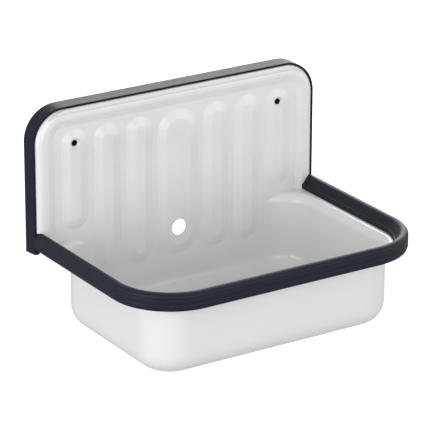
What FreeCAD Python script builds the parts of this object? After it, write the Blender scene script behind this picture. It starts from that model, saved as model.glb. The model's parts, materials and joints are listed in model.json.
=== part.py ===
import FreeCAD, Part
import math
import os
import Sketcher

# Mop sink for a wall: one enamelled pressing (bowl and fluted back panel) with dark edge guards,
# wall spacers and a plug outlet. Millimetres. X to the right, Y into the wall, Z up. The origin is
# on the wall, midway between the two screw holes.

SIZES = [
    ("overall_width", 510.0, "outer faces of the guards, left to right"),
    ("panel_rise", 59.4, "top of the panel guard above the screw line"),
    ("guard_drop", 170.5, "lower ends of the panel guard below the screw line"),
    ("panel_corner", 53.5, "outer corner radius of the panel guard"),
    ("guard_depth", 28.6, "panel guard, wall to front edge"),
    ("guard_wall", 3.0, "wall of both guards"),
    ("guard_leg", 12.0, "panel guard, wall to the end of the inner leg"),
    ("foot_width", 9.5, "closed lower end of the panel guard, across"),
    ("foot_height", 8.0, "closed lower end of the panel guard, upwards"),
    ("foot_slant", 2.8, "lower end of the panel guard, lower at the wall by"),
    ("sheet", 2.5, "enamelled sheet"),
    ("panel_depth", 35.0, "wall to the main plane of the panel"),
    ("shoulder", 12.0, "rounding of the panel into its side flange"),
    ("flute_depth", 4.3, "main plane to the field between the ribs"),
    ("border_side", 28.5, "outer face of the guard to the middle of the field's side slope"),
    ("border_top", 24.9, "top of the panel guard to the middle of the field's upper slope"),
    ("field_corner", 21.0, "corner radius of the field at the middle of its slope"),
    ("field_slope", 12.0, "width of the slope round the field"),
    ("rib_width", 49.0, "ribs at their foot"),
    ("wide_rib", 76.0, "middle rib at its foot"),
    ("rib_flank", 16.0, "width of a rib's flank"),
    ("screw_inset", 70.0, "outer face of the guard to the screw holes and the outer pair of ribs"),
    ("rib_rise", 22.0, "upper ends of the ribs above the screw line"),
    ("rib_drop", 220.0, "lower ends of the ribs below the screw line"),
    ("short_drop", 141.0, "lower ends of the outer pair of ribs below the screw line"),
    ("screw_hole", 8.5, "diameter of the screw holes"),
    ("dimple_width", 18.0, "dimple round a screw hole"),
    ("dimple_seat", 12.0, "flat seat in the dimple"),
    ("dimple_depth", 3.6, "depth of the dimple"),
    ("overflow_width", 26.5, "diameter of the overflow hole"),
    ("overflow_drop", 173.4, "overflow hole below the screw line"),
    ("ledge_drop", 154.9, "rim ledge below the screw line"),
    ("rim_side", 36.4, "outer face of the guard to the outer side wall of the bowl"),
    ("rim_ahead", 36.1, "front of the rim guard to the outer front of the bowl"),
    ("bowl_drop", 283.5, "underside of the bowl below the screw line"),
    ("front_corner", 58.0, "outer front corners of the bowl in plan"),
    ("back_corner", 60.0, "outer back corners of the bowl in plan"),
    ("bowl_round", 36.0, "outer rounding of the bowl's bottom edge"),
    ("rim_round", 15.0, "rounding of the ledge into the bowl"),
    ("rim_front", 359.7, "wall to the front of the rim guard"),
    ("rim_corner", 99.0, "outer front corners of the rim guard in plan"),
    ("skirt_hang", 4.6, "turned-down edge of the rim below the ledge"),
    ("strip_rise", 20.8, "top of the rim guard above the ledge"),
    ("strip_hang", 6.6, "bottom of the rim guard below the ledge"),
    ("strip_width", 23.0, "rim guard across its section"),
    ("strip_lip", 8.0, "inner lip of the rim guard above the ledge"),
    ("strip_dome", 7.5, "rounding of the rim guard's top"),
    ("strip_groove", 0.7, "depth of the two grooves along the rim guard"),
    ("outlet_out", 177.0, "wall to the middle of the outlet"),
    ("seat_half", 38.0, "pressed seat of the outlet, radius of its flat"),
    ("seat_depth", 3.0, "pressed seat of the outlet, depth"),
    ("outlet_hole", 25.0, "hole in the floor, radius"),
    ("seal_thick", 2.0, "rubber rings of the outlet"),
    ("flange_half", 35.0, "outlet ring, radius"),
    ("flange_thick", 1.8, "outlet ring, thickness of its rim"),
    ("throat_half", 22.5, "outlet ring, radius at the mouth of its throat"),
    ("throat_wall", 2.2, "outlet ring, wall of its throat"),
    ("throat_depth", 18.0, "outlet ring, length of its throat"),
    ("throat_taper", 1.5, "outlet ring, narrowing of its throat"),
    ("bar_width", 5.0, "cross bars of the outlet"),
    ("bar_height", 4.0, "cross bars of the outlet ring, height"),
    ("hub_half", 7.5, "hubs of the outlet, radius"),
    ("screw_half_width", 3.0, "outlet screw, radius of its shank"),
    ("head_half", 5.2, "outlet screw, radius of its head"),
    ("head_height", 3.2, "outlet screw, height of its head"),
    ("screw_reach", 18.0, "outlet screw, length under its head"),
    ("body_half", 38.5, "outlet body, radius of its flange"),
    ("cup_half", 31.0, "outlet body, outer radius of its cup"),
    ("cup_wall", 3.5, "outlet body, wall"),
    ("cup_depth", 17.0, "outlet body, depth of its cup"),
    ("hub_gap", 1.0, "outlet body, space left between the two hubs for tightening"),
    ("tail_half", 23.9, "outlet body, outer radius of its tail"),
    ("tail_hang", 49.5, "lower end of the tail below the underside of the bowl"),
    ("plug_gap", 0.3, "play between the plug and the outlet ring"),
    ("plug_depth", 10.5, "plug, depth of its cone"),
    ("plug_lip", 2.6, "plug, thickness of its lip"),
    ("plug_half", 26.5, "plug, radius of its lip"),
    ("knob_half", 7.0, "knob, radius"),
    ("knob_neck", 3.0, "knob, radius of its neck"),
    ("knob_rise", 12.0, "knob, length of its neck"),
    ("spacer_half", 9.0, "wall spacer, radius"),
    ("spacer_foot", 13.0, "wall spacer, radius of its foot on the wall"),
]

FLANK_SIN = 0.8  # slope of the rim guard's inner flank
FLANK_COS = 0.6
RIB_SHARE = 0.311  # rib to rib, as a share of the distance from the centre to a screw hole
BEND_SHARE = 2 - math.sqrt(2)  # flat that touches a quarter round, as a share of its radius
BITE = 0.2  # overlap of joined solids
CLEAR = 60.0  # reach of a tool beyond the piece
SIDES = (("left", -1), ("right", 1))

doc = FreeCAD.newDocument("mop_sink")
sheet = doc.addObject("Spreadsheet::Sheet", "sizes")


class Size:
    """A length with its value and the sheet formula it comes from."""

    def __init__(self, value, text):
        self.value = value
        self.text = text

    def _join(self, other, sign, value):
        return Size(value, "(%s %s %s)" % (self.text, sign, size(other).text))

    def __add__(self, other):
        return self._join(other, "+", self.value + size(other).value)

    def __radd__(self, other):
        return size(other) + self

    def __sub__(self, other):
        return self._join(other, "-", self.value - size(other).value)

    def __rsub__(self, other):
        return size(other) - self

    def __mul__(self, other):
        return self._join(other, "*", self.value * size(other).value)

    def __rmul__(self, other):
        return size(other) * self

    def __truediv__(self, other):
        return self._join(other, "/", self.value / size(other).value)

    def __neg__(self):
        return Size(-self.value, "(0 - %s)" % self.text)


def size(value):
    """A Size as it is, a plain number as a Size."""
    if isinstance(value, Size):
        return value
    return Size(float(value), "(%r)" % float(value))


class Sheet:
    """The driving sizes by name."""


S = Sheet()
for row, (name, value, note) in enumerate(SIZES, 1):
    sheet.set("A%d" % row, name)
    sheet.set("B%d" % row, str(value))
    sheet.set("C%d" % row, note)
    sheet.setAlias("B%d" % row, name)
    setattr(S, name, Size(value, "sizes." + name))
doc.recompute()


def bind(thing, prop, length):
    """Drive a property from the sheet."""
    thing.setExpression(prop, size(length).text)


def new_body(name):
    return doc.addObject("PartDesign::Body", name)


def corner(point):
    return FreeCAD.Vector(size(point[0]).value, size(point[1]).value, 0)


def segment(start, end):
    """Line or arc from one corner to the next; an arc starts at (x, y, radius, 1 or -1)."""
    tail, head = corner(start), corner(end)
    if len(start) == 2:
        return Part.LineSegment(tail, head), (1, 2)
    radius, way = size(start[2]).value, start[3]
    chord = head - tail
    left = FreeCAD.Vector(-chord.y, chord.x, 0) / chord.Length
    rise = math.sqrt(max(radius ** 2 - chord.Length ** 2 / 4, 0.0))
    middle = (tail + head) / 2 + left * rise * way
    ends = [math.atan2(p.y - middle.y, p.x - middle.x) for p in (tail, head)]
    circle = Part.Circle(middle, FreeCAD.Vector(0, 0, 1), radius)
    if way > 0:
        return Part.ArcOfCircle(circle, ends[0], ends[1]), (1, 2)
    return Part.ArcOfCircle(circle, ends[1], ends[0]), (2, 1)


def sketch(body, name, role, level, corners, closed=True):
    """Sketch on an origin plane, shifted along its normal, every corner placed from the sheet."""
    sk = body.newObject("Sketcher::SketchObject", name)
    origin_plane = [f for f in body.Origin.OriginFeatures if f.Role == role][0]
    sk.AttachmentSupport = [(origin_plane, "")]
    sk.MapMode = "FlatFace"
    bind(sk, "AttachmentOffset.Base.z", level)
    count = len(corners) if closed else len(corners) - 1
    ends = []
    for i in range(count):
        shape, tips = segment(corners[i], corners[(i + 1) % len(corners)])
        sk.addGeometry(shape, False)
        ends.append(tips)
    for i in range(count if closed else count - 1):
        j = (i + 1) % count
        sk.addConstraint(Sketcher.Constraint("Coincident", i, ends[i][1], j, ends[j][0]))
    for i, point in enumerate(corners):
        edge, tip = (i, ends[i][0]) if i < count else (count - 1, ends[count - 1][1])
        for kind, length in (("DistanceX", size(point[0])), ("DistanceY", size(point[1]))):
            place = sk.addConstraint(Sketcher.Constraint(kind, -1, 1, edge, tip, length.value))
            sk.setExpression("Constraints[%d]" % place, length.text)
        if len(point) == 4 and i < count:
            radius = size(point[2])
            place = sk.addConstraint(Sketcher.Constraint("Radius", i, radius.value))
            sk.setExpression("Constraints[%d]" % place, radius.text)
    return sk


def feature(body, kind, name, profile, **sizes):
    """PartDesign feature on a profile, with its sizes driven from the sheet."""
    thing = body.newObject("PartDesign::" + kind, name)
    thing.Profile = profile
    for prop, length in sizes.items():
        bind(thing, prop, length)
    return thing


def pad(body, name, profile, length, back=False):
    thing = feature(body, "Pad", name, profile, Length=length)
    thing.Reversed = back
    return thing


def turn(body, name, profile, angle=360.0, back=False):
    """Revolution of a profile about the vertical axis of its sketch."""
    thing = feature(body, "Revolution", name, profile)
    thing.ReferenceAxis = (profile, ["V_Axis"])
    thing.Angle = angle
    thing.Reversed = back
    return thing


def pipe(body, name, profile, path):
    thing = feature(body, "AdditivePipe", name, profile)
    thing.Spine = path
    return thing


def edge_work(body, kind, name, base, amount, wanted):
    """Fillet or chamfer on the edges of a feature whose middle point passes the test."""
    doc.recompute()
    names = []
    for i, edge in enumerate(base.Shape.Edges, 1):
        if wanted(edge.valueAt((edge.FirstParameter + edge.LastParameter) / 2)):
            names.append("Edge%d" % i)
    thing = body.newObject("PartDesign::" + kind, name)
    thing.Base = (base, names)
    bind(thing, "Radius" if kind == "Fillet" else "Size", amount)
    return thing


def fillet(body, name, base, radius, wanted):
    return edge_work(body, "Fillet", name, base, radius, wanted)


def bevel(body, name, base, radius, wanted):
    """Flat in place of a rounding, for hidden sides."""
    return edge_work(body, "Chamfer", name, base, radius * BEND_SHARE, wanted)


def cut(name, base, tool):
    thing = doc.addObject("Part::Cut", name)
    thing.Base, thing.Tool = base, tool
    return thing


def common(name, base, tool):
    thing = doc.addObject("Part::Common", name)
    thing.Base, thing.Tool = base, tool
    return thing


def fuse(name, pieces):
    thing = doc.addObject("Part::MultiFuse", name)
    thing.Shapes = pieces
    return thing


def shifted(name, piece, axis, length):
    """Copy of a shape, moved along one axis."""
    thing = doc.addObject("Part::Compound", name)
    thing.Links = [piece]
    bind(thing, "Placement.Base." + axis, length)
    return thing


def box(name, low, high):
    thing = doc.addObject("Part::Box", name)
    for axis, side, a, b in zip("xyz", ("Length", "Width", "Height"), low, high):
        bind(thing, "Placement.Base." + axis, a)
        bind(thing, side, size(b) - a)
    return thing


def rod(name, radius, x, z, low, high):
    """Cylinder along Y, from low to high."""
    thing = doc.addObject("Part::Cylinder", name)
    thing.Placement = FreeCAD.Placement(FreeCAD.Vector(), FreeCAD.Rotation(FreeCAD.Vector(1, 0, 0), -90))
    bind(thing, "Radius", radius)
    bind(thing, "Height", size(high) - low)
    bind(thing, "Placement.Base.x", x)
    bind(thing, "Placement.Base.y", low)
    bind(thing, "Placement.Base.z", z)
    return thing


# Shared levels
half = S.overall_width / 2
screw_half = half - S.screw_inset
bowl_half = half - S.rim_side
bowl_front = S.rim_front - S.rim_ahead
steel_half = half - S.guard_wall
steel_top = S.panel_rise - S.guard_wall
steel_corner = S.panel_corner - S.guard_wall
field_depth = S.panel_depth - S.flute_depth
ledge = -S.ledge_drop
floor = S.sheet - S.bowl_drop
panel_low = S.foot_height - S.guard_drop
tongue_low = S.bowl_round + S.sheet * 2 - S.bowl_drop
tongue_half = bowl_half - S.back_corner


def panel_form(name, inset, low, rear, shoulder):
    """Panel outline with rounded upper corners and shoulder, from its main plane to the rear."""
    body = new_body(name)
    side, top, bend = steel_half - inset, steel_top - inset, steel_corner - inset
    outline = [(-side, low), (side, low), (side, top - bend, bend, 1), (side - bend, top),
               (bend - side, top, bend, 1), (-side, top - bend)]
    front = S.panel_depth - inset
    face = sketch(body, name + "_outline", "XZ_Plane", front, outline)
    block = pad(body, name + "_block", face, front + rear, back=True)
    level = -front.value

    def front_edge(middle):
        return abs(middle.y - level) < 1e-4 and middle.z > low.value + 1e-3

    shoulder(body, name + "_shoulder", block, S.shoulder - inset, front_edge)
    return body


def rib(name, place, width, drop):
    """Raised rib with sloped flanks and round ends."""
    body = new_body(name)
    foot = BITE - field_depth
    root = foot + S.sheet
    crown = width / 2 - S.rib_flank
    low = width / 2 - drop
    high = S.rib_rise - width / 2
    flank = [(width / 2, root), (width / 2, foot), (crown, -S.panel_depth)]
    mirrored = [(-x, y) for x, y in reversed(flank)]
    run = sketch(body, name + "_section", "XY_Plane", low, flank + mirrored)
    pad(body, name + "_run", run, high - low)
    for end, level, back in (("lower", low, False), ("upper", high, True)):
        half_section = sketch(body, name + "_" + end, "XY_Plane", level,
                              [(size(0), root)] + flank + [(size(0), -S.panel_depth)])
        turn(body, name + "_" + end + "_end", half_section, 180.0, back)
    bind(body, "Placement.Base.x", place)
    return body


def field_tool(name):
    """Hollow of the field with its sloped edge, to be taken out of the panel."""
    body = new_body(name)
    low = -(S.bowl_drop + CLEAR)
    side = half - S.border_side - S.field_slope / 2
    top = S.panel_rise - S.border_top - S.field_slope / 2
    bend = S.field_corner - S.field_slope / 2
    front = S.panel_depth + CLEAR / 30
    path = [(-side, low), (-side, top - bend, bend, -1), (bend - side, top), (side - bend, top, bend, -1),
            (side, top - bend), (side, low)]
    core = sketch(body, name + "_outline", "XZ_Plane", field_depth, path)
    pad(body, name + "_core", core, front - field_depth)
    spine = sketch(body, name + "_path", "XZ_Plane", field_depth, path, closed=False)
    edge = sketch(body, name + "_edge", "XY_Plane", low,
                  [(-side, -field_depth), (-side - S.field_slope, -S.panel_depth - BITE),
                   (-side - S.field_slope, -front), (-side, -front)])
    pipe(body, name + "_slope", edge, spine)
    return body


def dimple_tool(name, place):
    body = new_body(name)
    front = -(S.panel_depth + CLEAR / 30)
    seat = S.dimple_depth - S.panel_depth
    wide = S.dimple_width / 2
    profile = [(size(0), front), (wide, front), (wide, -(S.panel_depth + BITE)), (S.dimple_seat / 2, seat),
               (size(0), seat)]
    turn(body, name + "_turn", sketch(body, name + "_profile", "XY_Plane", 0, profile))
    bind(body, "Placement.Base.x", place)
    return body


def tub(name, inset, low, top):
    """Bowl as a solid, rounded in plan and along its bottom edge."""
    body = new_body(name)
    side = bowl_half - inset
    front = inset - bowl_front
    back = S.sheet - field_depth - inset
    a = S.front_corner - inset
    b = S.back_corner - inset
    outline = [(a - side, front), (side - a, front, a, 1), (side, front + a), (side, back - b, b, 1),
               (side - b, back), (b - side, back, b, 1), (-side, back - b), (-side, front + a, a, 1)]
    face = sketch(body, name + "_outline", "XY_Plane", low, outline)
    block = pad(body, name + "_block", face, top - low)
    level = low.value
    fillet(body, name + "_bottom", block, S.bowl_round - inset, lambda middle: abs(middle.z - level) < 1e-4)
    return body


def rim_outline(inset, back):
    """Outline of the rim in plan."""
    side, front, bend = half - inset, inset - S.rim_front, S.rim_corner - inset
    return [(bend - side, front), (side - bend, front, bend, 1), (side, front + bend), (side, back),
            (-side, back), (-side, front + bend, bend, 1)]


def mouth_edge(level, limit):
    """Test for the edges where the walls of the bowl meet a level face."""
    front = -(bowl_front + S.sheet)

    def wanted(middle):
        inside = abs(middle.x) < limit.value and front.value < middle.y < 0
        return inside and abs(middle.z - level.value) < 1e-4
    return wanted


def relief(name):
    """Face of the panel on a block: the sunk field, the ribs standing in it, the dimples of the screws."""
    stock = box(name + "_stock", (-half, -S.panel_depth, -S.bowl_drop), (half, CLEAR / 6, S.panel_rise))
    hollow = cut(name + "_hollow", stock, field_tool(name + "_field"))
    pitch = screw_half * RIB_SHARE
    ribs = [rib(name + "_rib_middle", size(0), S.wide_rib, S.rib_drop)]
    dimples = []
    for side, sign in SIDES:
        for label, count, drop in (("screw", 0, S.short_drop), ("far", 1, S.rib_drop),
                                   ("near", 2, S.rib_drop)):
            place = (screw_half - pitch * count) * sign
            ribs.append(rib("%s_rib_%s_%s" % (name, label, side), place, S.rib_width, drop))
        dimples.append(dimple_tool("%s_dimple_%s" % (name, side), screw_half * sign))
    fluted = fuse(name + "_fluted", [hollow] + ribs)
    return cut(name + "_relief", fluted, fuse(name + "_dimples", dimples))


# The panel: its front less the same form one sheet behind
front_form = panel_form("front_form", size(0), panel_low, -S.guard_wall, fillet)
rear_form = panel_form("rear_form", S.sheet, -S.bowl_drop, size(CLEAR), bevel)
tongue = box("tongue", (-tongue_half, -S.panel_depth, tongue_low),
             (tongue_half, -S.guard_wall, panel_low + S.guard_wall))
front_face = relief("flute")
rear_face = shifted("rear_face", front_face, "y", S.sheet)
front_shape = common("front_shape", fuse("front_outline", [front_form, tongue]), front_face)
panel = cut("panel_sheet", front_shape, common("rear_shape", rear_form, rear_face))

# The bowl: outer form minus the hollow with its rounded mouth
outer = tub("outer_tub", size(0), -S.bowl_drop, ledge)
under_deck = ledge - S.sheet
deck = sketch(outer, "deck_outline", "XY_Plane", under_deck, rim_outline(S.guard_wall, size(CLEAR / 2)))
deck_pad = pad(outer, "deck", deck, S.sheet + BITE)
bevel(outer, "deck_slope", deck_pad, S.rim_round - S.sheet, mouth_edge(under_deck, bowl_half + S.sheet))

inner = tub("inner_tub", S.sheet, floor, ledge + BITE)
air = [(-half - CLEAR, -S.rim_front - CLEAR), (half + CLEAR, -S.rim_front - CLEAR),
       (half + CLEAR, size(CLEAR)), (-half - CLEAR, size(CLEAR))]
air_pad = pad(inner, "air", sketch(inner, "air_outline", "XY_Plane", ledge, air), CLEAR)
fillet(inner, "mouth_round", air_pad, S.rim_round, mouth_edge(ledge, bowl_half))

skirt = new_body("skirt")
hem_low = ledge - S.skirt_hang
pad(skirt, "skirt_block", sketch(skirt, "skirt_outline", "XY_Plane", hem_low,
                                 rim_outline(S.guard_wall, -field_depth)), S.skirt_hang)
hem = sketch(skirt, "skirt_inside", "XY_Plane", hem_low, rim_outline(S.guard_wall + S.sheet, size(CLEAR)))
feature(skirt, "Pocket", "skirt_hollow", hem, Length=S.skirt_hang - S.sheet).Reversed = True

seat = new_body("outlet_seat")
seat_wide = S.seat_half + S.seat_depth * 2
turn(seat, "seat_turn", sketch(seat, "seat_profile", "XZ_Plane", 0,
                               [(size(0), floor - S.seat_depth), (S.seat_half, floor - S.seat_depth),
                                (seat_wide, floor), (seat_wide, floor + BITE), (size(0), floor + BITE)]))
bind(seat, "Placement.Base.y", -S.outlet_out)

behind = box("behind_panel", (-half - CLEAR, S.sheet - field_depth, -S.bowl_drop - CLEAR),
             (half + CLEAR, size(CLEAR), S.panel_rise))
in_front = box("before_panel", (-half - CLEAR * 2, -S.rim_front - CLEAR * 2, -S.bowl_drop - CLEAR),
               (half + CLEAR * 2, -field_depth, S.panel_rise))
seat_under = shifted("seat_under", seat, "z", -S.sheet)
outer_form = cut("bowl_outer", fuse("bowl_solid", [outer, skirt, seat_under]), behind)
inner_form = fuse("bowl_hollow", [common("bowl_mouth", inner, in_front), seat])
bowl = cut("bowl_sheet", outer_form, inner_form)
tongue_gap = box("tongue_gap", (-tongue_half, -field_depth - BITE, tongue_low),
                 (tongue_half, CLEAR, ledge + S.guard_wall))
pressing = fuse("pressing", [cut("bowl_open", bowl, tongue_gap), panel])

through = [rod("overflow_hole", S.overflow_width / 2, 0, -S.overflow_drop, -S.panel_depth - CLEAR / 6, 0)]
for side, sign in SIDES:
    through.append(rod("screw_hole_" + side, S.screw_hole / 2, screw_half * sign, 0,
                       -S.panel_depth - CLEAR / 6, 0))
drain = doc.addObject("Part::Cylinder", "outlet_hole")
bind(drain, "Radius", S.outlet_hole)
bind(drain, "Height", CLEAR)
bind(drain, "Placement.Base.y", -S.outlet_out)
bind(drain, "Placement.Base.z", floor - CLEAR / 2)
basin_shell = cut("basin_shell", pressing, fuse("holes", through + [drain]))

# Guards
panel_guard = new_body("panel_edge_guard")
leg = steel_half - S.sheet
inner_leg = leg - S.guard_wall
bend = S.panel_corner
guard_path = [(-half, panel_low), (-half, S.panel_rise - bend, bend, -1), (bend - half, S.panel_rise),
              (half - bend, S.panel_rise, bend, -1), (half, S.panel_rise - bend), (half, panel_low)]
guard_section = [(-half, size(0)), (-half, -S.guard_depth), (-steel_half, -S.guard_depth),
                 (-steel_half, -S.guard_wall), (-leg, -S.guard_wall), (-leg, -S.guard_leg),
                 (-inner_leg, -S.guard_leg), (-inner_leg, size(0))]
pipe(panel_guard, "guard_run", sketch(panel_guard, "guard_section", "XY_Plane", panel_low, guard_section),
     sketch(panel_guard, "guard_path", "XZ_Plane", 0, guard_path, closed=False))
foot = [(size(0), panel_low), (-S.guard_depth, panel_low),
        (-S.guard_depth, S.foot_slant / 3 - S.guard_drop), (size(0), -(S.guard_drop + S.foot_slant * 2 / 3))]
for side, level in (("left", -half), ("right", half - S.foot_width)):
    closed_end = pad(panel_guard, "foot_" + side,
                     sketch(panel_guard, "foot_side_" + side, "YZ_Plane", level, foot), S.foot_width)
foot_inner = half - S.foot_width
edge_work(panel_guard, "Chamfer", "foot_bevel", closed_end, S.guard_wall,
          lambda middle: abs(abs(middle.x) - foot_inner.value) < 1e-4 and middle.z < -S.guard_drop.value + 1)

strip = new_body("rim_strip")
start = S.guard_depth
top = ledge + S.strip_rise
dome = top - S.strip_dome
low = ledge - S.strip_hang
hook = ledge - S.skirt_hang
thin = S.strip_dome - S.guard_wall
lip = S.strip_width - S.guard_wall
round_lip = S.guard_wall / 2
knee = S.strip_dome + S.strip_dome * FLANK_SIN
flank_end = knee + (S.strip_rise - S.strip_lip - S.strip_dome * (1 - FLANK_COS)) * (FLANK_COS / FLANK_SIN)
inner_knee = S.strip_dome + thin * FLANK_SIN
inner_fall = (lip - inner_knee) * (FLANK_SIN / FLANK_COS)
groove = S.strip_groove
middle = (dome + low) / 2
section = [(round_lip, low), (size(0), low + round_lip * 3),
           (size(0), middle - groove * 2), (groove, middle), (size(0), middle + groove * 2),
           (size(0), dome - groove * 4), (groove, dome - groove * 2), (size(0), dome, S.strip_dome, -1),
           (S.strip_dome, top, S.strip_dome, -1), (knee, dome + S.strip_dome * FLANK_COS),
           (flank_end, ledge + S.strip_lip), (S.strip_width - round_lip, ledge + S.strip_lip),
           (S.strip_width, ledge + S.strip_lip - round_lip), (S.strip_width, ledge),
           (lip, ledge), (lip, dome + thin * FLANK_COS - inner_fall),
           (inner_knee, dome + thin * FLANK_COS), (S.guard_wall, dome + thin * FLANK_COS),
           (S.guard_wall, hook), (S.guard_wall * 2, hook), (S.guard_wall * 2, low)]
section = [(p[0] - half,) + tuple(p[1:]) for p in section]
strip_path = [(-half, -start), (-half, S.rim_corner - S.rim_front, S.rim_corner, 1),
              (S.rim_corner - half, -S.rim_front), (half - S.rim_corner, -S.rim_front, S.rim_corner, 1),
              (half, S.rim_corner - S.rim_front), (half, -start)]
pipe(strip, "strip_run", sketch(strip, "strip_section", "XZ_Plane", start, section),
     sketch(strip, "strip_path", "XY_Plane", 0, strip_path, closed=False))
rim_guard = cut("bowl_rim_guard", strip, front_form)


# Wall spacers and outlet, all turned about their own axes
def turned(name, role, profile, **place):
    body = new_body(name)
    turn(body, name + "_turn", sketch(body, name + "_profile", role, 0, profile))
    for axis, length in place.items():
        bind(body, "Placement.Base." + axis, length)
    return body


seat_back = S.dimple_depth + S.sheet - S.panel_depth
spacer = [(S.screw_hole / 2, size(0)), (S.screw_hole / 2, seat_back), (S.spacer_half, seat_back),
          (S.spacer_half, -S.guard_wall), (S.spacer_foot, -S.guard_wall), (S.spacer_foot, size(0))]
spacers = [turned("wall_spacer_" + side, "XY_Plane", spacer, x=screw_half * sign)
           for side, sign in SIDES]

seat_top = floor - S.seat_depth
flange_low = seat_top + S.seal_thick
flange_top = flange_low + S.flange_thick
tube = S.throat_half + S.throat_wall
bar_low = flange_top - S.throat_depth
narrow = S.throat_half - S.throat_taper
under = seat_top - S.sheet
body_top = under - S.seal_thick
seal_bore = S.outlet_hole + S.plug_gap


def ring(name, radius, high):
    low = high - S.seal_thick
    return turned(name, "XZ_Plane", [(seal_bore, low), (radius, low), (radius, high), (seal_bore, high)],
                  y=-S.outlet_out)


top_seal = ring("waste_top_seal", S.flange_half - S.plug_gap, flange_low)
under_seal = ring("waste_under_seal", S.body_half - S.plug_gap, under)


def cross(body, name, level, height, reach, hub, bore):
    """Two crossing bars with a bored hub."""
    for axis in ("x", "y"):
        long, short = size(reach), S.bar_width / 2
        a, b = (long, short) if axis == "x" else (short, long)
        pad(body, name + "_bar_" + axis, sketch(body, name + "_bar_side_" + axis, "XY_Plane", level,
                                                [(-a, -b), (a, -b), (a, b), (-a, b)]), height)
    turn(body, name + "_hub", sketch(body, name + "_hub_profile", "XZ_Plane", 0,
                                     [(size(0), level), (hub, level), (hub, level + height),
                                      (size(0), level + height)]))
    hole = sketch(body, name + "_bore_profile", "XZ_Plane", 0,
                  [(size(0), level - 1), (bore, level - 1), (bore, level + height + 1),
                   (size(0), level + height + 1)])
    groove = feature(body, "Groove", name + "_bore", hole)
    groove.ReferenceAxis = (hole, ["V_Axis"])
    groove.Angle = 360.0


flange = turned("waste_flange", "XZ_Plane",
                [(S.throat_half, flange_top), (narrow, bar_low), (tube, bar_low), (tube, flange_low),
                 (S.flange_half, flange_low), (S.flange_half, flange_low + S.flange_thick / 2),
                 (S.flange_half - S.flange_thick, flange_top)], y=-S.outlet_out)
cross(flange, "flange_cross", bar_low, S.bar_height, narrow + S.throat_wall / 2, S.hub_half,
      S.screw_half_width + S.plug_gap)

head_low = bar_low + S.bar_height
cup_in = S.cup_half - S.cup_wall
cup_low = body_top - S.cup_depth
tail_in = S.tail_half - S.cup_wall
tail_top = cup_low - S.cup_wall * 2
tail_low = -(S.bowl_drop + S.tail_hang)
waste_body = turned("waste_body", "XZ_Plane",
                    [(cup_in, body_top), (cup_in, cup_low), (tail_in, tail_top), (tail_in, tail_low),
                     (S.tail_half, tail_low), (S.tail_half, tail_top), (S.cup_half, cup_low),
                     (S.cup_half, body_top - S.cup_wall), (S.body_half, body_top - S.cup_wall),
                     (S.body_half, body_top)], y=-S.outlet_out)
cross(waste_body, "body_cross", cup_low, bar_low - S.hub_gap - cup_low, cup_in + S.cup_wall / 2, S.hub_half,
      S.screw_half_width)

waste_screw = turned("waste_screw", "XZ_Plane",
                     [(size(0), head_low - S.screw_reach), (S.screw_half_width, head_low - S.screw_reach),
                      (S.screw_half_width, head_low), (S.head_half, head_low),
                      (S.head_half, head_low + S.head_height * 2 / 3),
                      (S.head_half * 2 / 3, head_low + S.head_height), (size(0), head_low + S.head_height)],
                     y=-S.outlet_out)

slope = S.throat_taper / S.throat_depth
plug_low = flange_top - S.plug_depth
lip_low = flange_top + S.plug_gap
lip_top = lip_low + S.plug_lip
cone_top = S.throat_half - S.plug_gap
cone_low = cone_top - slope * S.plug_depth
web = lip_low - S.plug_lip
plug = turned("waste_plug", "XZ_Plane",
              [(S.knob_neck, web), (S.throat_half * 2 / 3, web), (S.throat_half * 2 / 3, plug_low),
               (cone_low, plug_low), (cone_top, lip_low), (S.plug_half, lip_low),
               (S.plug_half, lip_low + S.plug_lip / 2), (S.plug_half - S.plug_lip / 2, lip_top),
               (S.knob_neck, lip_top)], y=-S.outlet_out)
grip = lip_top + S.knob_rise
knob_slope = S.knob_half - S.knob_neck
grip_top = grip + knob_slope * 2
knob = turned("plug_knob", "XZ_Plane",
              [(size(0), web), (S.knob_neck, web), (S.knob_neck, lip_top),
               (S.knob_half, lip_top), (S.knob_neck, lip_top + S.plug_lip), (S.knob_neck, grip),
               (S.knob_half, grip + knob_slope), (S.knob_half, grip_top),
               (S.knob_half - knob_slope / 2, grip_top + knob_slope / 2),
               (size(0), grip_top + knob_slope * 2 / 3)], y=-S.outlet_out)

NODES = [basin_shell, panel_guard, rim_guard] + spacers
NODES += [flange, top_seal, under_seal, waste_body, waste_screw, plug, knob]

doc.recompute()
for thing in doc.Objects:
    if "Invalid" in thing.State or "Error" in thing.State:
        raise RuntimeError("%s did not build: %s" % (thing.Label, thing.State))
os.makedirs("parts", exist_ok=True)
for node in NODES:
    shape = node.Shape
    if shape.isNull() or not shape.isValid():
        raise RuntimeError("%s has no valid shape" % node.Label)
    if len(shape.Solids) != 1:
        raise RuntimeError("%s is %d solids" % (node.Label, len(shape.Solids)))
    shape.exportStep("parts/%s.step" % node.Label)
    print("%-18s volume %.0f box %s" % (node.Label, shape.Volume, shape.BoundBox))
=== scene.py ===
# %% [markdown]
# # A wall-hung mop sink in white enamel
#
# The sink is one pressing of sheet steel: a shallow bowl and a fluted back panel, fired with
# white enamel. Dark plastic guards are pushed over the panel's turned edge and over the bowl's
# rim. The CAD model already has the main shapes, so this lesson is about light, finishes and a
# few small details that are too fine for the CAD model: the threads and the slot of the outlet,
# the bead along the top of the panel and the bushes in the screw holes.

# %% Load the frame
import json
import math

import bpy
from mathutils import Euler, Matrix, Vector

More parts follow.
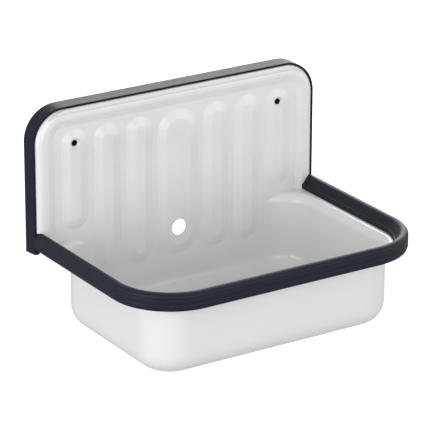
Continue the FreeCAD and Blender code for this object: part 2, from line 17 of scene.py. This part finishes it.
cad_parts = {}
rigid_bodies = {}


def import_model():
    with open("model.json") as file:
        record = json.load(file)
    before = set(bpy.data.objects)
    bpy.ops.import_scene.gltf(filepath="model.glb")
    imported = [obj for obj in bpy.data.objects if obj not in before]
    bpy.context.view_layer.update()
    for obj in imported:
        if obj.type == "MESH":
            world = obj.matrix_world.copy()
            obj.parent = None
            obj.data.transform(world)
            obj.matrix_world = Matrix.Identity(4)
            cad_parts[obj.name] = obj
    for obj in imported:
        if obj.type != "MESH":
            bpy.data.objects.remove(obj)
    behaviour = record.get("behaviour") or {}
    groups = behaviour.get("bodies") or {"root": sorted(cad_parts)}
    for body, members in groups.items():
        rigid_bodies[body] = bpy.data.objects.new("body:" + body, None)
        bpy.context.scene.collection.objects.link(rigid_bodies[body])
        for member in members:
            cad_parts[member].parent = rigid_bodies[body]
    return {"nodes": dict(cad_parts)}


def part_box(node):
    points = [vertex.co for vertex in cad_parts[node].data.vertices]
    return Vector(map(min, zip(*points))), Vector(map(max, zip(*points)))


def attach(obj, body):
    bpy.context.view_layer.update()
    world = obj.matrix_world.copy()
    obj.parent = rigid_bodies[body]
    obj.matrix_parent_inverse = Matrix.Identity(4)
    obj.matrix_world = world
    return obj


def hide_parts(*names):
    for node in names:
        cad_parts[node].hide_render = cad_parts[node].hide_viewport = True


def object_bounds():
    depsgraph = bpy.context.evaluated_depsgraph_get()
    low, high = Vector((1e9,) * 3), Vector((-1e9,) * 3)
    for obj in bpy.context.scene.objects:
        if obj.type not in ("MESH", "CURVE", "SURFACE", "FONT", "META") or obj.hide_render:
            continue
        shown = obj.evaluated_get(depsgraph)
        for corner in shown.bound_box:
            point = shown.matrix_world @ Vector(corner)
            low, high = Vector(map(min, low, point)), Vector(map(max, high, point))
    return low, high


bpy.ops.object.select_all(action="SELECT")
bpy.ops.object.delete()
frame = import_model()
bpy.context.view_layer.update()
cad_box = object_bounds()
nodes = frame["nodes"]
scene = bpy.context.scene
MM = 0.001
print("CAD box in metres:", [round(v, 4) for corner in cad_box for v in corner])

# %% [markdown]
# ## The camera
#
# A product photograph is taken from far away with a long lens, so that the edges of the object
# stay nearly parallel. The camera could be aimed with a constraint, but a plain position and
# three angles say the same thing and are easier to correct: yaw swings it round the sink, pitch
# tips it down, and a small roll levels the picture.

# %% Camera at the photograph's angle
IMAGE_PIXELS = 424
FOCAL_PIXELS = 2904.4
SENSOR_MM = 36.0
FAR_CLIP = 100.0
camera_place = Vector((-2.2467, -3.6408, 1.4714))
camera_yaw = math.radians(-32.618)
camera_pitch = math.radians(20.870)
camera_roll = math.radians(0.150)

lens = bpy.data.cameras.new("studio_camera")
lens.sensor_width = SENSOR_MM
lens.lens = SENSOR_MM * FOCAL_PIXELS / IMAGE_PIXELS
lens.clip_end = FAR_CLIP
camera = bpy.data.objects.new("studio_camera", lens)
scene.collection.objects.link(camera)
aim = Euler((math.pi / 2 - camera_pitch, 0.0, camera_yaw)).to_matrix()
aim = aim @ Matrix.Rotation(camera_roll, 3, "Z")
camera.matrix_world = Matrix.Translation(camera_place) @ aim.to_4x4()
scene.camera = camera
print("lens %.1f mm, %.2f m from the origin" % (lens.lens, camera_place.length))

# %% [markdown]
# ## Background
#
# The photograph shows nothing but white behind the sink. Paper that white would need lamps of its
# own, so the world shows a plain white to the camera and in reflections only, which the Light
# Path node tells apart. The light that it really gives to the sink is set on its own.

# %% World
BACKGROUND_WHITE = 1.0
AMBIENT = 0.47


def by_ray(tree, socket, given, shown, mirrored, through):
    """Send a strength to a socket: as light, to the camera, in reflections and through glass."""
    path = tree.nodes.new("ShaderNodeLightPath")
    total = None
    for ray, seen in (("Is Camera Ray", shown), ("Is Glossy Ray", mirrored),
                      ("Is Transmission Ray", through)):
        step = tree.nodes.new("ShaderNodeMath")
        step.operation = "MULTIPLY_ADD"
        tree.links.new(path.outputs[ray], step.inputs[0])
        step.inputs[1].default_value = seen - given
        step.inputs[2].default_value = given
        if total:
            tree.links.new(total, step.inputs[2])
        total = step.outputs[0]
    tree.links.new(total, socket)


world = bpy.data.worlds.new("studio")
scene.world = world
world.use_nodes = True
background = world.node_tree.nodes["Background"]
background.inputs["Color"].default_value = (1.0, 1.0, 1.0, 1.0)
by_ray(world.node_tree, background.inputs["Strength"], given=AMBIENT, shown=BACKGROUND_WHITE,
       mirrored=BACKGROUND_WHITE, through=BACKGROUND_WHITE)
print("world gives %.2f and shows %.2f" % (AMBIENT, BACKGROUND_WHITE))

# %% [markdown]
# ## Floor
#
# The sink hangs on a wall at about hand height. The floor below it is plain and pale and takes
# the shadow. It glows for the camera in the same way as the world does. It is clear from below,
# so that the outlet can be looked at.

# %% Floor
FLOOR_DROP = 0.85
FLOOR_WIDTH = 24.0
FLOOR_GREY = 0.41
FLOOR_ROUGHNESS = 0.9
FLOOR_GLOW = 0.80
FLOOR_SHEEN = 0.15

bpy.ops.mesh.primitive_plane_add(size=FLOOR_WIDTH, location=(0.0, 0.0, -FLOOR_DROP))
floor = bpy.context.object
floor.name = "studio_floor"
floor_paint = bpy.data.materials.new("studio_floor")
floor_paint.use_nodes = True
tree = floor_paint.node_tree
floor_shader = tree.nodes["Principled BSDF"]
floor_shader.inputs["Base Color"].default_value = (FLOOR_GREY, FLOOR_GREY, FLOOR_GREY, 1.0)
floor_shader.inputs["Roughness"].default_value = FLOOR_ROUGHNESS
floor_shader.inputs["Specular IOR Level"].default_value = 0.0
floor_shader.inputs["Emission Color"].default_value = (1.0, 1.0, 1.0, 1.0)
by_ray(tree, floor_shader.inputs["Emission Strength"], given=0.0, shown=FLOOR_GLOW,
       mirrored=FLOOR_SHEEN, through=FLOOR_GLOW)
side = tree.nodes.new("ShaderNodeNewGeometry")
clear = tree.nodes.new("ShaderNodeBsdfTransparent")
either = tree.nodes.new("ShaderNodeMixShader")
tree.links.new(side.outputs["Backfacing"], either.inputs["Fac"])
tree.links.new(floor_shader.outputs["BSDF"], either.inputs[1])
tree.links.new(clear.outputs["BSDF"], either.inputs[2])
tree.links.new(either.outputs["Shader"], tree.nodes["Material Output"].inputs["Surface"])
floor.data.materials.append(floor_paint)
print("floor %.2f m below the screw holes" % FLOOR_DROP)

# %% [markdown]
# ## Soft studio light
#
# White enamel shows its shape only through small differences of light. A lamp on the left makes
# the left flanks of the ribs a little brighter than the right ones, as in the photograph. One in
# front lights the panel, and a wide one on the right keeps the other side open. The dark guards
# show almost nothing of these three. Their tops are seen at a low angle, and a lamp behind the
# sink is mirrored in them, which draws the pale line along their edges.

# %% Lamps
middle = (cad_box[0] + cad_box[1]) / 2


def softbox(name, place, width, watts):
    """Square lamp that looks at the middle of the sink."""
    light = bpy.data.lights.new(name, "AREA")
    light.size = width
    light.energy = watts
    lamp = bpy.data.objects.new(name, light)
    scene.collection.objects.link(lamp)
    place = Vector(place)
    turn = (place - middle).to_track_quat("Z", "Y")
    lamp.matrix_world = Matrix.Translation(place) @ turn.to_matrix().to_4x4()


softbox("left_lamp", place=(-3.1, -0.6, 0.15), width=2.2, watts=58.0)
softbox("front_lamp", place=(-0.8, -3.0, 0.6), width=2.6, watts=38.5)
softbox("right_lamp", place=(2.4, -2.2, 0.0), width=3.0, watts=38.0)
softbox("back_lamp", place=(2.3, 2.5, 1.6), width=2.7, watts=120.0)

# %% [markdown]
# ## Tools for the finishes
#
# Every finish is a small tree of nodes on the shader. They all start from Object coordinates,
# which are metres on the real sink, so the size of a pattern can be thought of in millimetres. A
# noise hardly ever reaches 0 or 1, so only the middle of its range is spread over a range of
# gloss or blended between two colours.

# %% Start of a finish: shader, place and noise


def new_finish(name, color, roughness):
    """Material with its main shader set up, its tree and that shader."""
    finish = bpy.data.materials.new(name)
    finish.use_nodes = True
    shader = finish.node_tree.nodes["Principled BSDF"]
    shader.inputs["Base Color"].default_value = color + (1.0,)
    shader.inputs["Roughness"].default_value = roughness
    return finish, finish.node_tree, shader


def place_on_piece(tree):
    """Socket with the place on the piece, in metres."""
    return tree.nodes.new("ShaderNodeTexCoord").outputs["Object"]


def grain(tree, vector, size_mm, detail=2.0):
    """Noise with spots of about the given size."""
    noise = tree.nodes.new("ShaderNodeTexNoise")
    noise.inputs["Scale"].default_value = 1.0 / (size_mm * MM)
    noise.inputs["Detail"].default_value = detail
    tree.links.new(vector, noise.inputs["Vector"])
    return noise.outputs["Fac"]


# %% End of a finish: gloss, colour, relief and the pieces
GLOSS_FROM, GLOSS_TO = 0.3, 0.7
TONE_FROM, TONE_TO = 0.35, 0.65
EDGE_SAMPLES = 4


def spread(tree, value, low, high, socket):
    """Map a noise to a range and send it to a socket."""
    node = tree.nodes.new("ShaderNodeMapRange")
    node.inputs["From Min"].default_value = GLOSS_FROM
    node.inputs["From Max"].default_value = GLOSS_TO
    node.inputs["To Min"].default_value = low
    node.inputs["To Max"].default_value = high
    tree.links.new(value, node.inputs["Value"])
    tree.links.new(node.outputs[0], socket)


def two_tone(tree, value, first, second, socket):
    """Blend two colours by a noise and send them to a socket."""
    ramp = tree.nodes.new("ShaderNodeValToRGB")
    ramp.color_ramp.elements[0].position = TONE_FROM
    ramp.color_ramp.elements[0].color = first + (1.0,)
    ramp.color_ramp.elements[1].position = TONE_TO
    ramp.color_ramp.elements[1].color = second + (1.0,)
    tree.links.new(value, ramp.inputs["Fac"])
    tree.links.new(ramp.outputs["Color"], socket)


def relief(tree, value, shader, depth_mm, strength, edge_mm=0.0):
    """Bump of the given depth, over edges that look rounded by the given radius."""
    bump = tree.nodes.new("ShaderNodeBump")
    bump.inputs["Strength"].default_value = strength
    bump.inputs["Distance"].default_value = depth_mm * MM
    tree.links.new(value, bump.inputs["Height"])
    tree.links.new(bump.outputs["Normal"], shader.inputs["Normal"])
    if edge_mm:
        soft_edge = tree.nodes.new("ShaderNodeBevel")
        soft_edge.samples = EDGE_SAMPLES
        soft_edge.inputs["Radius"].default_value = edge_mm * MM
        tree.links.new(soft_edge.outputs["Normal"], bump.inputs["Normal"])


def put_on(finish, *names):
    """Give CAD nodes a finish."""
    for name in names:
        nodes[name].data.materials.clear()
        nodes[name].data.materials.append(finish)
    print(finish.name, "on", ", ".join(names))


# %% [markdown]
# ## White enamel
#
# Enamel is glass melted on steel. It is white, hard and glossy, with a very slight waviness from
# the melt, like the peel of an orange, and its white is never quite even. A clean white shader
# would look like paper, so the gloss and a faint wave do the work here.

# %% Enamel
ENAMEL_IOR = 1.52
enamel, tree, shader = new_finish("enamel", (0.732, 0.738, 0.733), roughness=0.08)
place = place_on_piece(tree)
two_tone(tree, grain(tree, place, size_mm=90.0), (0.726, 0.732, 0.727), (0.738, 0.744, 0.739),
         shader.inputs["Base Color"])
spread(tree, grain(tree, place, size_mm=30.0), 0.06, 0.10, shader.inputs["Roughness"])
relief(tree, grain(tree, place, size_mm=5.0), shader, depth_mm=0.02, strength=0.25, edge_mm=2.5)
shader.inputs["IOR"].default_value = ENAMEL_IOR
put_on(enamel, "basin_shell")

# %% [markdown]
# ## Guard plastic
#
# The guards are extruded from a blue-black plastic with a satin skin. An extruded skin has a fine
# grain and faint scuffs, which show as small changes of gloss more than of colour. The rim is
# wiped more often than the panel's edge, so its skin is a little glossier.

# %% Guards


def guard_finish(name, gloss):
    """Blue-black satin plastic with the given level of reflection."""
    plastic, tree, shader = new_finish(name, (0.005, 0.0075, 0.016), roughness=0.52)
    place = place_on_piece(tree)
    two_tone(tree, grain(tree, place, size_mm=12.0, detail=6.0), (0.004, 0.0065, 0.0145),
             (0.006, 0.0085, 0.018), shader.inputs["Base Color"])
    spread(tree, grain(tree, place, size_mm=6.0, detail=8.0), 0.48, 0.56,
           shader.inputs["Roughness"])
    relief(tree, grain(tree, place, size_mm=0.7), shader, depth_mm=0.03, strength=0.3, edge_mm=1.0)
    shader.inputs["Specular IOR Level"].default_value = gloss
    return plastic


put_on(guard_finish("panel_guard", gloss=0.14), "panel_edge_guard")
put_on(guard_finish("rim_guard", gloss=0.21), "bowl_rim_guard")

# %% [markdown]
# ## The hidden finishes
#
# The wall spacers are plain black plastic. The outlet below the floor is white plastic, with
# rubber seals, a turned steel ring and a chromed knob on the plug.

# %% Spacers, rubber and outlet plastic
spacer, tree, shader = new_finish("spacer", (0.012, 0.012, 0.014), roughness=0.55)
place = place_on_piece(tree)
spread(tree, grain(tree, place, size_mm=3.0, detail=4.0), 0.5, 0.65, shader.inputs["Roughness"])
relief(tree, grain(tree, place, size_mm=0.6), shader, depth_mm=0.04, strength=0.4)
put_on(spacer, "wall_spacer_left", "wall_spacer_right")

rubber, tree, shader = new_finish("rubber", (0.022, 0.022, 0.023), roughness=0.75)
place = place_on_piece(tree)
two_tone(tree, grain(tree, place, size_mm=4.0, detail=5.0), (0.018, 0.018, 0.019),
         (0.03, 0.03, 0.031), shader.inputs["Base Color"])
spread(tree, grain(tree, place, size_mm=2.0, detail=4.0), 0.65, 0.85, shader.inputs["Roughness"])
relief(tree, grain(tree, place, size_mm=0.8), shader, depth_mm=0.05, strength=0.4)
put_on(rubber, "waste_top_seal", "waste_under_seal", "waste_plug")

outlet, tree, shader = new_finish("outlet", (0.74, 0.74, 0.72), roughness=0.35)
place = place_on_piece(tree)
two_tone(tree, grain(tree, place, size_mm=25.0), (0.72, 0.72, 0.70), (0.76, 0.76, 0.74),
         shader.inputs["Base Color"])
spread(tree, grain(tree, place, size_mm=4.0, detail=4.0), 0.3, 0.42, shader.inputs["Roughness"])
relief(tree, grain(tree, place, size_mm=1.0), shader, depth_mm=0.02, strength=0.3)
put_on(outlet, "waste_body")

# %% [markdown]
# ## Turned steel and chrome
#
# The outlet ring was turned on a lathe, and the tool leaves fine rings round its axis. Noise that
# reads only the distance from that axis gives such rings. The knob is polished, with faint
# smudges.

# %% Steel and chrome
ring_low, ring_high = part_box("waste_flange")
outlet_axis = (ring_low + ring_high) / 2

steel, tree, shader = new_finish("steel", (0.60, 0.60, 0.61), roughness=0.28)
shader.inputs["Metallic"].default_value = 1.0
shift = tree.nodes.new("ShaderNodeMapping")
shift.vector_type = "POINT"
shift.inputs["Location"].default_value = (-outlet_axis.x, -outlet_axis.y, 0.0)
shift.inputs["Scale"].default_value = (1.0, 1.0, 0.0)
tree.links.new(place_on_piece(tree), shift.inputs["Vector"])
radius = tree.nodes.new("ShaderNodeVectorMath")
radius.operation = "LENGTH"
tree.links.new(shift.outputs["Vector"], radius.inputs[0])
rings = grain(tree, radius.outputs["Value"], size_mm=0.5, detail=3.0)
spread(tree, rings, 0.2, 0.36, shader.inputs["Roughness"])
relief(tree, rings, shader, depth_mm=0.02, strength=0.5)
put_on(steel, "waste_flange", "waste_screw")

chrome, tree, shader = new_finish("chrome", (0.78, 0.79, 0.80), roughness=0.06)
shader.inputs["Metallic"].default_value = 1.0
place = place_on_piece(tree)
spread(tree, grain(tree, place, size_mm=5.0, detail=4.0), 0.04, 0.13, shader.inputs["Roughness"])
put_on(chrome, "plug_knob")

# %% [markdown]
# ## Tools for modelling
#
# Three small steps come back with every new piece. A primitive that was just added gets its name,
# the selection inside a mesh is cleared before faces or edges are picked, and one piece alone is
# made the selected one before an operator works on it.

# %% Modelling helpers
ORIGIN = (0.0, 0.0, 0.0)
ROUND_SIDES = 48
SMOOTH_ANGLE = math.radians(30.0)


def added_piece(name):
    """The object that was just added, with its name on its mesh as well."""
    piece = bpy.context.object
    piece.name = name
    piece.data.name = name
    return piece


def select_nothing_inside():
    """Clear the selection inside the active mesh."""
    bpy.ops.object.mode_set(mode="EDIT")
    bpy.ops.mesh.select_all(action="DESELECT")
    bpy.ops.object.mode_set(mode="OBJECT")


def select_only(piece):
    """Make a piece the only selected one, and the active one."""
    bpy.ops.object.select_all(action="DESELECT")
    piece.select_set(True)
    bpy.context.view_layer.objects.active = piece


# %% [markdown]
# ## The thread on the outlet tail
#
# A trap is screwed to the tail by a pipe thread with 11 turns to the inch. The CAD model has the
# plain tail, so its ridge is made here. A bump in the finish would vanish at the outline of the
# tail. A small flat triangle that the Screw modifier sweeps round the axis gives the real ridge.
# The sweep turns about the origin, so the ridge is made there, closed at both ends and moved to
# the tail afterwards.

# %% Ridge of a thread
RIDGE_FLATNESS = 0.35
RIDGE_LIFT = 0.05
SWEEP_STEPS = 40


def thread_ridge(name, radius, pitch, turns, low, axis):
    """Ridge that winds up from the given height, on a rod of the given radius."""
    bpy.ops.object.select_all(action="DESELECT")
    bpy.ops.mesh.primitive_circle_add(vertices=3, radius=pitch / 2)
    ridge = added_piece(name)
    bpy.ops.object.mode_set(mode="EDIT")
    bpy.ops.mesh.select_all(action="SELECT")
    bpy.ops.transform.rotate(value=math.pi / 2, orient_axis="Z", center_override=ORIGIN)
    bpy.ops.transform.rotate(value=math.pi / 2, orient_axis="X", center_override=ORIGIN)
    bpy.ops.transform.resize(value=(RIDGE_FLATNESS, 1.0, 1.0), center_override=ORIGIN)
    bpy.ops.object.mode_set(mode="OBJECT")
    # The tip has to point away from the axis, whichever way the operator has turned it.
    tip = max(ridge.data.vertices, key=lambda vertex: abs(vertex.co.x)).co.x
    bpy.ops.object.mode_set(mode="EDIT")
    if tip < 0.0:
        bpy.ops.transform.rotate(value=math.pi, orient_axis="Z", center_override=ORIGIN)
    bpy.ops.transform.translate(value=(radius + pitch * RIDGE_LIFT, 0.0, 0.0))
    bpy.ops.object.mode_set(mode="OBJECT")
    sweep = ridge.modifiers.new("sweep", "SCREW")
    sweep.axis = "Z"
    sweep.screw_offset = pitch
    sweep.iterations = turns
    sweep.steps = SWEEP_STEPS
    sweep.render_steps = SWEEP_STEPS
    bpy.ops.object.modifier_apply(modifier="sweep")
    bpy.ops.object.mode_set(mode="EDIT")
    bpy.ops.mesh.select_all(action="SELECT")
    bpy.ops.mesh.fill_holes(sides=3)
    bpy.ops.mesh.select_all(action="SELECT")
    bpy.ops.mesh.normals_make_consistent(inside=False)
    bpy.ops.transform.translate(value=(axis.x, axis.y, low))
    bpy.ops.object.mode_set(mode="OBJECT")
    return ridge


# %% Thread of the tail
TAIL_RADIUS = 23.9 * MM
TAIL_PITCH = 25.4 / 11 * MM
TAIL_TURNS = 7
TAIL_START = 1.6 * MM

tail_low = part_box("waste_body")[0]
tail_thread = thread_ridge("tail_thread", TAIL_RADIUS, TAIL_PITCH, TAIL_TURNS,
                           tail_low.z + TAIL_START, outlet_axis)
tail_thread.data.materials.append(outlet)
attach(tail_thread, "sink")
thread_top = tail_thread.bound_box[6][2]
print("tail thread: %d faces, top at %.4f m" % (len(tail_thread.data.polygons), thread_top))

# %% [markdown]
# ## The outlet screw
#
# One screw under the plug draws the outlet ring and the outlet body together. It has a slot for a
# wide screwdriver or a coin. The head grows out of the shank: its top face is extruded, widened
# and extruded again, and its rim is bevelled.

# %% Shank and head
HEAD_HEIGHT = 3.2 * MM
HEAD_BEVEL = 0.7 * MM
SHANK_RADIUS = 3.0 * MM
FACES_UP = 0.9

screw_low, screw_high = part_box("waste_screw")
head_radius = (screw_high.x - screw_low.x) / 2
screw_length = screw_high.z - screw_low.z
shank_length = screw_length - HEAD_HEIGHT

bpy.ops.object.select_all(action="DESELECT")
bpy.ops.mesh.primitive_cylinder_add(vertices=ROUND_SIDES, radius=SHANK_RADIUS, depth=shank_length)
slot_screw = added_piece("slot_screw")
select_nothing_inside()
for face in slot_screw.data.polygons:
    face.select = face.normal.z > FACES_UP
bpy.ops.object.mode_set(mode="EDIT")
bpy.ops.mesh.extrude_region_move(TRANSFORM_OT_translate={"value": ORIGIN})
widen = head_radius / SHANK_RADIUS
bpy.ops.transform.resize(value=(widen, widen, 1.0), center_override=ORIGIN)
bpy.ops.mesh.extrude_region_move(TRANSFORM_OT_translate={"value": (0.0, 0.0, HEAD_HEIGHT)})
bpy.ops.mesh.bevel(offset=HEAD_BEVEL, segments=3, affect="EDGES")
bpy.ops.object.mode_set(mode="OBJECT")
print("screw: head %.1f mm wide, %.1f mm long" % (2 * head_radius / MM, screw_length / MM))

# %% [markdown]
# The slot is cut with a Boolean, because it runs out at both sides. A screw seldom stops with its
# slot square to the sink, so it is turned a little. Its thread is the same ridge as on the tail,
# only finer.

# %% Slot and thread of the screw
SLOT_WIDTH = 1.6 * MM
SLOT_DEPTH = 1.6 * MM
SLOT_TURN = math.radians(25.0)
SCREW_PITCH = 1.0 * MM
SCREW_TURNS = 9
SCREW_START = 1.0 * MM

head_top = shank_length / 2 + HEAD_HEIGHT
bpy.ops.mesh.primitive_cube_add(size=1.0, location=(0.0, 0.0, head_top))
cutter = bpy.context.object
bpy.ops.object.mode_set(mode="EDIT")
bpy.ops.transform.resize(value=(4 * head_radius, SLOT_WIDTH, 2 * SLOT_DEPTH),
                         center_override=(0.0, 0.0, head_top))
bpy.ops.object.mode_set(mode="OBJECT")
bpy.context.view_layer.objects.active = slot_screw
slot_cut = slot_screw.modifiers.new("slot", "BOOLEAN")
slot_cut.operation = "DIFFERENCE"
slot_cut.object = cutter
bpy.ops.object.modifier_apply(modifier="slot")
bpy.data.objects.remove(cutter)

select_only(slot_screw)
bpy.ops.object.mode_set(mode="EDIT")
bpy.ops.mesh.select_all(action="SELECT")
bpy.ops.transform.rotate(value=SLOT_TURN, orient_axis="Z", center_override=ORIGIN)
bpy.ops.transform.translate(value=(outlet_axis.x, outlet_axis.y, screw_low.z + shank_length / 2))
bpy.ops.object.mode_set(mode="OBJECT")
bpy.ops.object.shade_smooth_by_angle(angle=SMOOTH_ANGLE)
screw_thread = thread_ridge("screw_thread", SHANK_RADIUS, SCREW_PITCH, SCREW_TURNS,
                            screw_low.z + SCREW_START, outlet_axis)
select_only(slot_screw)
screw_thread.select_set(True)
bpy.ops.object.join()
slot_screw.data.materials.clear()
slot_screw.data.materials.append(steel)
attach(slot_screw, "sink")
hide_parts("waste_screw")
print("slot screw: %d faces" % len(slot_screw.data.polygons))

# %% [markdown]
# ## The bead along the top of the panel
#
# Just below the guard the top edge of the panel has a narrow bead, which draws a fine line across
# the panel. It stiffens the edge before it turns back to the wall. The CAD model has a plain
# rounding there. The bead starts as a circle in the middle of the panel. The part of it that
# would lie behind the sheet is deleted, and the gap is closed by one straight edge.

# %% Section of the bead
BEAD_RADIUS = 3.9 * MM
BEAD_INSET = 6.9 * MM
BEAD_DEPTH = 33.4 * MM
BEAD_SIDES = 32
BEAD_CUT = 2.2 * MM
INTO_SHEET = Vector((0.0, 0.716, -0.698))

guard_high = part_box("panel_edge_guard")[1]
bead_middle = Vector((0.0, -BEAD_DEPTH, guard_high.z - BEAD_INSET))

bpy.ops.object.select_all(action="DESELECT")
bpy.ops.mesh.primitive_circle_add(vertices=BEAD_SIDES, radius=BEAD_RADIUS, location=bead_middle,
                                  rotation=(0.0, math.pi / 2, 0.0))
edge_bead = added_piece("edge_bead")
bpy.ops.object.transform_apply(location=True, rotation=True, scale=True)
select_nothing_inside()
for vertex in edge_bead.data.vertices:
    vertex.select = (vertex.co - bead_middle).dot(INTO_SHEET) > BEAD_CUT
bpy.ops.object.mode_set(mode="EDIT")
bpy.ops.mesh.delete(type="VERT")
bpy.ops.object.mode_set(mode="OBJECT")
edges_at = {}
for edge in edge_bead.data.edges:
    for index in edge.vertices:
        edges_at[index] = edges_at.get(index, 0) + 1
for vertex in edge_bead.data.vertices:
    vertex.select = edges_at[vertex.index] == 1
bpy.ops.object.mode_set(mode="EDIT")
bpy.ops.mesh.edge_face_add()
bpy.ops.object.mode_set(mode="OBJECT")
print("section of the bead: %d corners" % len(edge_bead.data.vertices))

# %% [markdown]
# The section is extruded along the top to where the corner begins. There it is spun round the
# corner in short steps and gets thinner with each, so that the bead runs out. The Mirror modifier
# makes the other half. Run without a window, the spin turns the other way, hence its minus sign.

# %% Bead along the top
GUARD_CORNER = 53.5 * MM
RUN_OUT_STEPS = 6
RUN_OUT_TURN = math.radians(6.0)
RUN_OUT_SCALE = 0.75
MERGE_GAP = 0.01 * MM
BEAD_SMOOTH_ANGLE = math.radians(40.0)

corner_x = guard_high.x - GUARD_CORNER
corner_z = guard_high.z - GUARD_CORNER
corner_middle = Vector((corner_x, -BEAD_DEPTH, corner_z))
corner_arm = Vector((0.0, 0.0, bead_middle.z - corner_z))

bpy.ops.object.mode_set(mode="EDIT")
bpy.ops.mesh.select_all(action="SELECT")
bpy.ops.mesh.extrude_edges_move(TRANSFORM_OT_translate={"value": (corner_x, 0.0, 0.0)})
for step in range(1, RUN_OUT_STEPS + 1):
    bpy.ops.mesh.spin(steps=1, angle=-RUN_OUT_TURN, center=(corner_x, 0.0, corner_z),
                      axis=(0.0, 1.0, 0.0))
    loop_middle = Matrix.Rotation(step * RUN_OUT_TURN, 3, "Y") @ corner_arm + corner_middle
    bpy.ops.transform.resize(value=(RUN_OUT_SCALE,) * 3, center_override=loop_middle)
bpy.ops.mesh.edge_face_add()
bpy.ops.object.mode_set(mode="OBJECT")
mirror = edge_bead.modifiers.new("other_half", "MIRROR")
mirror.merge_threshold = MERGE_GAP
bpy.ops.object.modifier_apply(modifier="other_half")
bpy.ops.object.mode_set(mode="EDIT")
bpy.ops.mesh.select_all(action="SELECT")
bpy.ops.mesh.remove_doubles(threshold=MERGE_GAP)
bpy.ops.mesh.normals_make_consistent(inside=False)
bpy.ops.object.mode_set(mode="OBJECT")
bpy.ops.object.shade_smooth_by_angle(angle=BEAD_SMOOTH_ANGLE)
edge_bead.data.materials.append(enamel)
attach(edge_bead, "sink")
bead_length = edge_bead.dimensions.x / MM
print("bead: %d faces, %.0f mm long" % (len(edge_bead.data.polygons), bead_length))

# %% [markdown]
# ## Bushes in the screw holes
#
# The screw holes are dark right up to their edges: a thin plastic bush keeps the wall screw off
# the enamel, which would chip. The front rim of an open cylinder is extruded and widened into a
# collar that lies in the dimple, and the Solidify modifier gives it a wall.

# %% One bush
SEAT_DEPTH = 31.4 * MM
BUSH_RADIUS = 4.2 * MM
BUSH_WALL = 0.15 * MM
COLLAR_RADIUS = 5.0 * MM

spacer_front = -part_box("wall_spacer_left")[0].y
bush_length = SEAT_DEPTH - spacer_front
bush_clear = 2 * (BUSH_RADIUS - BUSH_WALL)

bpy.ops.object.select_all(action="DESELECT")
bpy.ops.mesh.primitive_cylinder_add(vertices=ROUND_SIDES, radius=BUSH_RADIUS, depth=bush_length,
                                    end_fill_type="NOTHING")
bush = bpy.context.object
select_nothing_inside()
for edge in bush.data.edges:
    edge.select = all(bush.data.vertices[index].co.z > 0.0 for index in edge.vertices)
bpy.ops.object.mode_set(mode="EDIT")
bpy.ops.mesh.extrude_edges_move(TRANSFORM_OT_translate={"value": ORIGIN})
widen = COLLAR_RADIUS / BUSH_RADIUS
bpy.ops.transform.resize(value=(widen, widen, 1.0), center_override=ORIGIN)
bpy.ops.object.mode_set(mode="OBJECT")
wall = bush.modifiers.new("wall", "SOLIDIFY")
wall.thickness = BUSH_WALL
wall.offset = -1.0
bpy.ops.object.modifier_apply(modifier="wall")
bpy.ops.object.shade_smooth_by_angle(angle=SMOOTH_ANGLE)
print("bush: %.1f mm long, %.2f mm clear" % (bush_length / MM, bush_clear / MM))

# %% [markdown]
# The second bush is a copy with a mesh of its own. Both are turned to face the room and moved to
# their holes, and the place is applied to the mesh.

# %% Both bushes
HOLE_X = 185.0 * MM

other = bush.copy()
other.data = bush.data.copy()
scene.collection.objects.link(other)
for piece, side_name, sign in ((bush, "left", -1), (other, "right", 1)):
    piece.name = "screw_bush_" + side_name
    piece.data.name = piece.name
    select_only(piece)
    piece.location = (sign * HOLE_X, -(SEAT_DEPTH + spacer_front) / 2, 0.0)
    piece.rotation_euler = (math.pi / 2, 0.0, 0.0)
    bpy.ops.object.transform_apply(location=True, rotation=True, scale=True)
    piece.data.materials.append(spacer)
    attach(piece, "sink")
print("bushes:", bush.name, "and", other.name)

# %% [markdown]
#
# The colours are shown as they are written.

# %% Finish
scene.view_settings.view_transform = "Standard"
